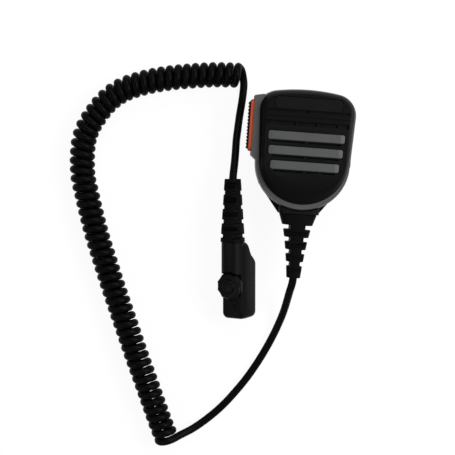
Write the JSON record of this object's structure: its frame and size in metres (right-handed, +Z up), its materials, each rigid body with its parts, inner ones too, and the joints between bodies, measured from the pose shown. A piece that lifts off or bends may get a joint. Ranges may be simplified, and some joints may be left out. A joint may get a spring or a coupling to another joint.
{
  "type": "hand microphone",
  "caption": "Hand-held speaker microphone with grille bars, talk button and swivel belt clip, on a curly cord to a side plug with a thumb knob.",
  "frame": {"origin": "on the belt clip's swivel axis, in the plane of the clip arm's outer face, which lies on the resting surface", "axes": "+Z up out of the resting surface and out of the front panel, +Y to the top of the microphone, away from its cord, +X to its right"},
  "size_m": [0.1672, 0.2351, 0.0369],
  "materials": {
    "cover_black": "moulded black polycarbonate, fine spark texture, matte",
    "frame_grey": "moulded mid-grey plastic, satin",
    "bar_grey": "moulded grey plastic, satin",
    "button_orange": "orange moulded plastic, satin",
    "grip_rubber": "black moulded rubber, matte",
    "seal_rubber": "soft black rubber",
    "cord_jacket": "black polyurethane cord jacket, semi-matte",
    "plug_black": "moulded black plastic, fine texture",
    "knob_black": "black moulded plastic, satin",
    "inner_plastic": "black moulded plastic",
    "clip_black": "black glass-filled nylon, matte",
    "steel": "bright steel",
    "black_screw": "black oxide steel",
    "contact_brass": "gold-plated brass contacts",
    "board_green": "green solder mask on glass-epoxy board",
    "cone_paper": "dark pressed film cone",
    "mesh_black": "woven dust mesh"
  },
  "bodies": {
    "head": {"audio_jack": "inner_plastic", "case_screw_1": "black_screw", "case_screw_2": "black_screw", "case_screw_3": "black_screw", "case_screw_4": "black_screw", "circuit_board": "board_green", "contact_block": "inner_plastic", "contact_pin_1": "contact_brass", "contact_pin_2": "contact_brass", "contact_pin_3": "contact_brass", "contact_pin_4": "contact_brass", "contact_pin_5": "contact_brass", "contact_pin_6": "contact_brass", "cord_coil": "cord_jacket", "cord_lead_mic": "cord_jacket", "cord_lead_plug": "cord_jacket", "dust_mesh": "mesh_black", "front_cover": "cover_black", "housing_seal": "seal_rubber", "label_plate": "cover_black", "lower_grille_bar": "bar_grey", "mic_boot": "seal_rubber", "mic_capsule": "steel", "mic_strain_relief": "grip_rubber", "middle_grille_bar": "bar_grey", "plug_back_shell": "plug_black", "plug_board": "board_green", "plug_front_shell": "plug_black", "plug_screw_1": "black_screw", "plug_screw_2": "black_screw", "plug_seal": "seal_rubber", "plug_strain_relief": "grip_rubber", "ptt_seal": "seal_rubber", "ptt_switch": "inner_plastic", "rear_cover": "cover_black", "side_frame": "frame_grey", "speaker_frame": "steel", "speaker_gasket": "seal_rubber", "speaker_magnet": "black_screw", "swivel_screw": "steel", "swivel_washer": "steel", "upper_grille_bar": "bar_grey"},
    "talk_button": {"ptt_button": "button_orange", "ptt_grip": "grip_rubber", "ptt_stem": "inner_plastic"},
    "switch_key": {"switch_key": "inner_plastic"},
    "cone": {"speaker_cone": "cone_paper"},
    "clip_swivel": {"clip_base": "clip_black", "clip_pin": "steel", "clip_spring": "steel"},
    "clip_arm": {"clip_arm": "clip_black"},
    "jack_flap": {"jack_cover": "grip_rubber"},
    "thumb_knob": {"knob": "knob_black", "knob_cap": "knob_black", "knob_screw": "steel", "knob_retaining_ring": "steel"}
  },
  "joints": [
    {"name": "talk_press", "type": "slide", "parent": "head", "child": "talk_button", "axis": [1, 0, 0], "range_m": [0, 0.001], "stiffness_N_per_m": 2500, "springref_m": -0.0004},
    {"name": "switch_press", "type": "slide", "parent": "head", "child": "switch_key", "axis": [1, 0, 0], "range_m": [0, 0.0007]},
    {"name": "cone_stroke", "type": "slide", "parent": "head", "child": "cone", "axis": [0, 0, 1], "range_m": [-0.0004, 0.0004], "stiffness_N_per_m": 1500},
    {"name": "clip_turn", "type": "hinge", "parent": "head", "child": "clip_swivel", "pos_m": [0, 0, 0.0099], "axis": [0, 0, 1], "continuous": true},
    {"name": "clip_open", "type": "hinge", "parent": "clip_swivel", "child": "clip_arm", "pos_m": [0, 0.01, 0.0053], "axis": [1, 0, 0], "range_deg": [0, 20], "stiffness_Nm_per_rad": 0.35, "springref_deg": -20.05, "deforming": ["clip_spring"]},
    {"name": "jack_flap_swing", "type": "hinge", "parent": "head", "child": "jack_flap", "pos_m": [0.02745, -0.0074, 0.0252], "axis": [0, 0, -1], "range_deg": [0, 120], "stiffness_Nm_per_rad": 0.002, "springref_deg": -11.46},
    {"name": "knob_turn", "type": "hinge", "parent": "head", "child": "thumb_knob", "pos_m": [-0.0289, -0.0825, 0.0072], "axis": [-0.5433, -0.038, 0.8387], "continuous": true}
  ],
  "couplings": [
    {"joint": "switch_press", "follows": "talk_press", "ratio": 0.7}
  ]
}
